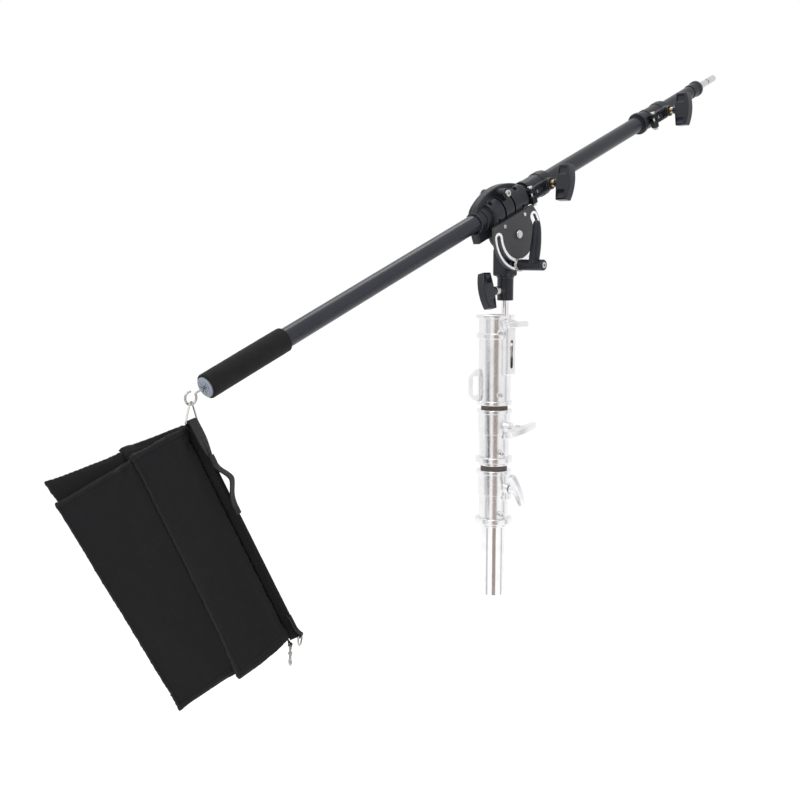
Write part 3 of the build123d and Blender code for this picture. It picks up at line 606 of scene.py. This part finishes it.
def drop(tree, u, v, side):
    """The point of the cloth's outer face at (u, v), by looking at it from outside the bag."""
    start = bag_point(u, v, side * 90.0)
    hit, normal, index, distance = tree.ray_cast(start, -DEPTH * side)
    if hit is None or (start - hit).length > 0.089:
        hit, normal, index, distance = tree.find_nearest(bag_point(u, v, side * 14.0))
    return hit, normal


def hem(name, tree, side, start, end, inward, width, rise, steps=90):
    """A folded hem on the cloth from start to end, with its row of stitches along the inner side."""
    profile = ((0.0, -0.3), (0.06, 0.75), (0.2, 1.0), (0.5, 0.92), (0.8, 1.0), (0.94, 0.75), (1.0, -0.3))
    bm = bmesh.new()
    rows, under, seam, outer = [], [], [], []
    for i in range(steps + 1):
        t = i / steps
        u = start[0] + (end[0] - start[0]) * t
        v = start[1] + (end[1] - start[1]) * t
        wobble = 0.5 * noise.noise(Vector((t * 9.0, width, side)))
        row, low = [], []
        for place, lift in profile:
            reach = width * place + wobble
            spot, normal = drop(tree, u + inward[0] * reach, v + inward[1] * reach, side)
            if normal.dot(DEPTH) * side < 0:
                normal = -normal
            pucker = 1.0 + 0.18 * noise.noise(Vector((t * 140.0, place * 3.0, side)))
            row.append(bm.verts.new(spot + normal * rise * lift * pucker * MM))
            low.append(bm.verts.new(spot - normal * 0.9 * MM))
        rows.append(row)
        under.append(low)
        spot, normal = drop(tree, u + inward[0] * width * 0.8, v + inward[1] * width * 0.8, side)
        seam.append(spot + DEPTH * side * rise * 1.0 * MM)
        spot, normal = drop(tree, u + inward[0] * width * 0.2, v + inward[1] * width * 0.2, side)
        outer.append(spot + DEPTH * side * rise * 1.0 * MM)
    last = len(profile) - 1
    for i in range(steps):
        for j in range(last):
            bm.faces.new((rows[i][j], rows[i][j + 1], rows[i + 1][j + 1], rows[i + 1][j]))
            bm.faces.new((under[i][j], under[i + 1][j], under[i + 1][j + 1], under[i][j + 1]))
        bm.faces.new((rows[i][0], rows[i + 1][0], under[i + 1][0], under[i][0]))
        bm.faces.new((rows[i][last], under[i][last], under[i + 1][last], rows[i + 1][last]))
    for i in (0, steps):
        for j in range(last):
            bm.faces.new((rows[i][j], rows[i][j + 1], under[i][j + 1], under[i][j]))
    add_object(name, closed_mesh(bm, name), "bag", "bag_nylon")
    return [seam, outer]


def make_bag_cloth():
    for node, (side, corners) in PANELS.items():
        tree = surface_of(make_panel(node))
        spine_top, edge_top, edge_foot, spine_foot = corners
        wide = 9.0 if node.endswith("flap") else 7.0
        runs = []
        runs += hem(node + "_edge_hem", tree, side, (edge_top[0] + 7, edge_top[1] - 5.5),
                    (edge_foot[0] - 7, edge_foot[1] - 5.5), (0, -1), wide, 0.9)
        runs += hem(node + "_top_hem", tree, side, (spine_top[0] + 6, spine_top[1] + 6),
                    (edge_top[0] + 6, edge_top[1] - 7), (1, 0), wide, 1.1)
        runs += hem(node + "_foot_hem", tree, side, (spine_foot[0] - 6, spine_foot[1] + 6),
                    (edge_foot[0] - 6, edge_foot[1] - 7), (-1, 0), wide, 0.9)
        stitches(node + "_stitching", runs, DEPTH * side, "bag")


make_bag_cloth()

# ---- The bag's webbing ----------------------------------------------------------------------------

STRAP_HALF = 22.0 * MM
HANDLE_HALF = 12.5 * MM


def loop_path(centre, radius, start, end, steps=14):
    """Points round a wire that runs through the bag, from one angle to another in degrees."""
    points = []
    for i in range(steps + 1):
        q = math.radians(start + (end - start) * i / steps)
        points.append(centre + (ACROSS * math.cos(q) + UP * math.sin(q)) * radius)
    return points


def strap_share(point):
    """The strap is full width at the ring's bar and narrows to a tape that runs between the halves."""
    down = (point - bag_point(0, 0)).dot(DOWN_SPINE)
    t = min(1.0, max(0.0, (down - 0.022) / 0.060))
    return 1.0 - 0.72 * t * t * (3 - 2 * t)


def make_spine_fold():
    """The fold of cloth between the halves, which the strap is sewn to along the whole spine."""
    path = [bag_point(u, 5.5 - 0.0155 * u) for u in range(0, 382, 10)]
    mesh = ribbon("spine_fold", smooth_path(path, 2), OFF_SPINE, 9.5 * MM, 3.2 * MM, 0.3 * MM)
    add_object("spine_fold", mesh, "bag", "bag_nylon")


def make_spine_strap():
    bar = plane_point(0, RING_BAR)
    radius = 2.85 * MM
    tail = [bag_point(u, -0.95) for u in (30, 22, 14, 9)]
    front = [bag_point(u, -3.15 - 0.25 * math.sin(u * 0.06)) for u in range(9, 371, 8)]
    loop = loop_path(bar, radius, 232, 12)
    path = smooth_path(tail + loop + front, 3)
    mesh = ribbon("spine_webbing", path, DEPTH, STRAP_HALF, 0.8 * MM, 0.15 * MM, strap_share)
    strap = add_object("spine_webbing", mesh, "bag", "bag_webbing")
    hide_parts("spine_strap")
    runs = []
    for side in (-1, 1):
        run = []
        for u in range(10, 369, 8):
            reach = STRAP_HALF / MM * strap_share(bag_point(u, 0)) - 2.5
            run.append(bag_point(u, -4.1 - 0.25 * math.sin(u * 0.06), side * reach))
        runs.append(run)
    for u in (12, 26):
        runs.append([bag_point(u, -4.1, d) for d in (-18, -9, 0, 9, 18)])
    stitches("spine_stitching", runs, -OFF_SPINE, "bag")


def make_handle():
    points = [(57, -5.3), (66, -5.35), (75, -5.6), (84, -9.2), (94, -16.0), (103, -19.8), (110, -18.2),
              (118, -14.2), (127, -9.6), (135, -6.8), (143, -5.5), (152, -5.3), (161, -5.3)]
    path = smooth_path([bag_point(u, v) for u, v in points], 5)
    mesh = ribbon("handle_webbing", path, DEPTH, HANDLE_HALF, 0.85 * MM, 0.2 * MM)
    handle = add_object("handle_webbing", mesh, "bag", "bag_webbing")
    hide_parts("grab_handle")
    runs = []
    for low, high in ((58.5, 70.5), (148.5, 160.0)):
        box = [(low, -10), (high, -10), (high, 10), (low, 10), (low, -10), (high, 10)]
        for (a, b), (c, d) in zip(box, box[1:]):
            runs.append([bag_point(a, -6.2, b), bag_point(c, -6.2, d)])
        runs.append([bag_point(low, -6.2, 10), bag_point(high, -6.2, -10)])
    stitches("handle_stitching", runs, -OFF_SPINE, "bag")


def make_tab(name, node, eye, wire, start, end, steps, half, approach):
    """A short sewn tab that holds a wire in its loop."""
    loop = loop_path(bag_point(*eye), wire + 1.25 * MM, start, end, steps)
    mesh = ribbon(name, smooth_path(approach[0] + loop + approach[1], 3), DEPTH, half, 0.7 * MM, 0.0)
    tab = add_object(name, mesh, "bag", "bag_webbing")
    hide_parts(node)


make_spine_fold()
make_spine_strap()
make_handle()
SPINE_ANGLE = math.degrees(math.atan2(DOWN_SPINE.z, DOWN_SPINE.dot(ACROSS)))
make_tab("ring_tab_webbing", "ring_tab", (379, -9.5), 1.5 * MM, SPINE_ANGLE - 140, SPINE_ANGLE + 150, 16,
         9.0 * MM, ([bag_point(338, -5.5), bag_point(352, -5.6), bag_point(366, -6.0)],
                    [bag_point(368, -7.8), bag_point(354, -7.3), bag_point(344, -7.0)]))
make_tab("snap_tab_webbing", "snap_tab", (387, 12.5, 0), 1.6 * MM, SPINE_ANGLE - 150, SPINE_ANGLE + 150, 16,
         2.0 * MM, ([bag_point(354, 11.4), bag_point(372, 11.3)],
                    [bag_point(372, 13.6), bag_point(354, 13.5)]))

# ---- The foam grip ----------------------------------------------------------------------------------

PIVOT = Vector((0, -0.026, 0.75))
BOOM_ALONG = Vector((math.cos(BOOM_TILT), 0, math.sin(BOOM_TILT)))
BOOM_UP = Vector((-math.sin(BOOM_TILT), 0, math.cos(BOOM_TILT)))
BOOM_RISE = 0.0561
FOAM_REAR = -0.778
FOAM_FRONT = -0.603
FOAM_RADIUS = 0.022
FOAM_BORE = 0.01755


def make_foam():
    """The foam sleeve: soft rounded ends, slow hand-worn hollows and a fine uneven skin."""
    rings, sides, lip = 90, 72, 0.0026
    side = Vector((0, 1, 0))
    quarter = [math.radians(90 * i / 8) for i in range(9)]
    rear = [(FOAM_REAR + lip * (1 - math.cos(q)), FOAM_RADIUS - lip * (1 - math.sin(q))) for q in quarter]
    front = [(FOAM_FRONT - lip * (1 - math.cos(q)), FOAM_RADIUS - lip * (1 - math.sin(q)))
             for q in reversed(quarter)]
    length = FOAM_FRONT - FOAM_REAR - 2 * lip
    middle = [(FOAM_REAR + lip + length * i / rings, FOAM_RADIUS) for i in range(1, rings)]
    outline = [(FOAM_REAR + 0.0004, FOAM_BORE), *rear, *middle, *front, (FOAM_FRONT - 0.0004, FOAM_BORE)]
    bm = bmesh.new()
    grid = []
    for s, radius in outline:
        row = []
        for k in range(sides):
            q = math.tau * k / sides
            out = side * math.cos(q) + BOOM_UP * math.sin(q)
            centre = PIVOT + BOOM_ALONG * s + BOOM_UP * BOOM_RISE
            soft = 0.00045 * noise.noise((centre + out * radius) * 22.0)
            soft += 0.00018 * noise.noise((centre + out * radius) * 130.0)
            share = (radius - FOAM_BORE) / (FOAM_RADIUS - FOAM_BORE)
            row.append(bm.verts.new(centre + out * (radius + (soft - 0.0003) * share)))
        grid.append(row)
    grid.append(grid[0])
    for a, b in zip(grid, grid[1:]):
        for k in range(sides):
            bm.faces.new((a[k], a[(k + 1) % sides], b[(k + 1) % sides], b[k]))
    piece = add_object("foam_sleeve", closed_mesh(bm, "foam_sleeve"), "boom", "foam")
    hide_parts("foam_grip")


make_foam()

# ---- Floor and light ----------------------------------------------------------------------------------

FLOOR_HEIGHT = -0.62


def stage_material():
    s = Shader("paper")
    mottle = s.noise(s.place, 3.0, 4.0)
    colour = s.ramp(mottle, (0.3, (0.955, 0.955, 0.955)), (0.7, (0.975, 0.975, 0.975)))
    return s.finish(colour, 0.9, Emission_Color=(1, 1, 1, 1), Emission_Strength=0.06)


def make_floor():
    bm = bmesh.new()
    bmesh.ops.create_grid(bm, x_segments=4, y_segments=4, size=40.0)
    mesh = made_mesh(bm, "floor")
    floor = bpy.data.objects.new("floor", mesh)
    floor.location = (0, 0, FLOOR_HEIGHT)
    mesh.materials.append(stage_material())
    SCENE.collection.objects.link(floor)


def softbox(name, place, target, size, watts):
    """A rectangular area light aimed at a target."""
    data = bpy.data.lights.new(name, "AREA")
    data.shape = "RECTANGLE"
    data.size, data.size_y = size
    data.energy = watts
    light = bpy.data.objects.new(name, data)
    light.location = place
    light.rotation_euler = (Vector(target) - Vector(place)).to_track_quat("-Z", "Y").to_euler()
    SCENE.collection.objects.link(light)


def flag(name, place, target, width, colour):
    """A tall dull card beside the camera, seen only as a streak in polished metal."""
    bm = bmesh.new()
    bmesh.ops.create_grid(bm, x_segments=1, y_segments=1, size=0.5)
    mesh = made_mesh(bm, name)
    card = bpy.data.objects.new(name, mesh)
    card.location = place
    card.scale = (width, 1.7, 1)
    aim = Vector((target[0] - place[0], target[1] - place[1], 0))
    card.rotation_euler = aim.to_track_quat("Z", "Y").to_euler()
    s = Shader(name)
    mesh.materials.append(s.finish((*colour, 1), 0.95))
    card.visible_camera = False
    card.visible_shadow = False
    card.visible_diffuse = False
    SCENE.collection.objects.link(card)


def make_light():
    world = bpy.data.worlds.new("studio")
    SCENE.world = world
    world.use_nodes = True
    sky = world.node_tree.nodes["Background"]
    sky.inputs["Color"].default_value = (1.0, 1.0, 1.0, 1)
    sky.inputs["Strength"].default_value = 1.0
    softbox("key", (-2.4, -1.2, 3.2), (-0.1, 0, 0.6), (1.5, 1.5), 42.0)
    softbox("top", (0.3, 0.9, 3.2), (0, 0, 0.7), (1.8, 1.0), 22.0)
    flag("warm_flag", (-1.03, -1.22, 0.25), (0, 0, 0.4), 0.95, (0.33, 0.26, 0.23))
    flag("grey_flag", (-1.52, 0.5, 0.25), (0, 0, 0.4), 0.55, (0.55, 0.54, 0.55))
    flag("side_flag", (0.94, -1.30, 0.25), (0, 0, 0.4), 0.45, (0.50, 0.49, 0.51))
    SCENE.view_settings.view_transform = "Standard"


make_floor()
make_light()
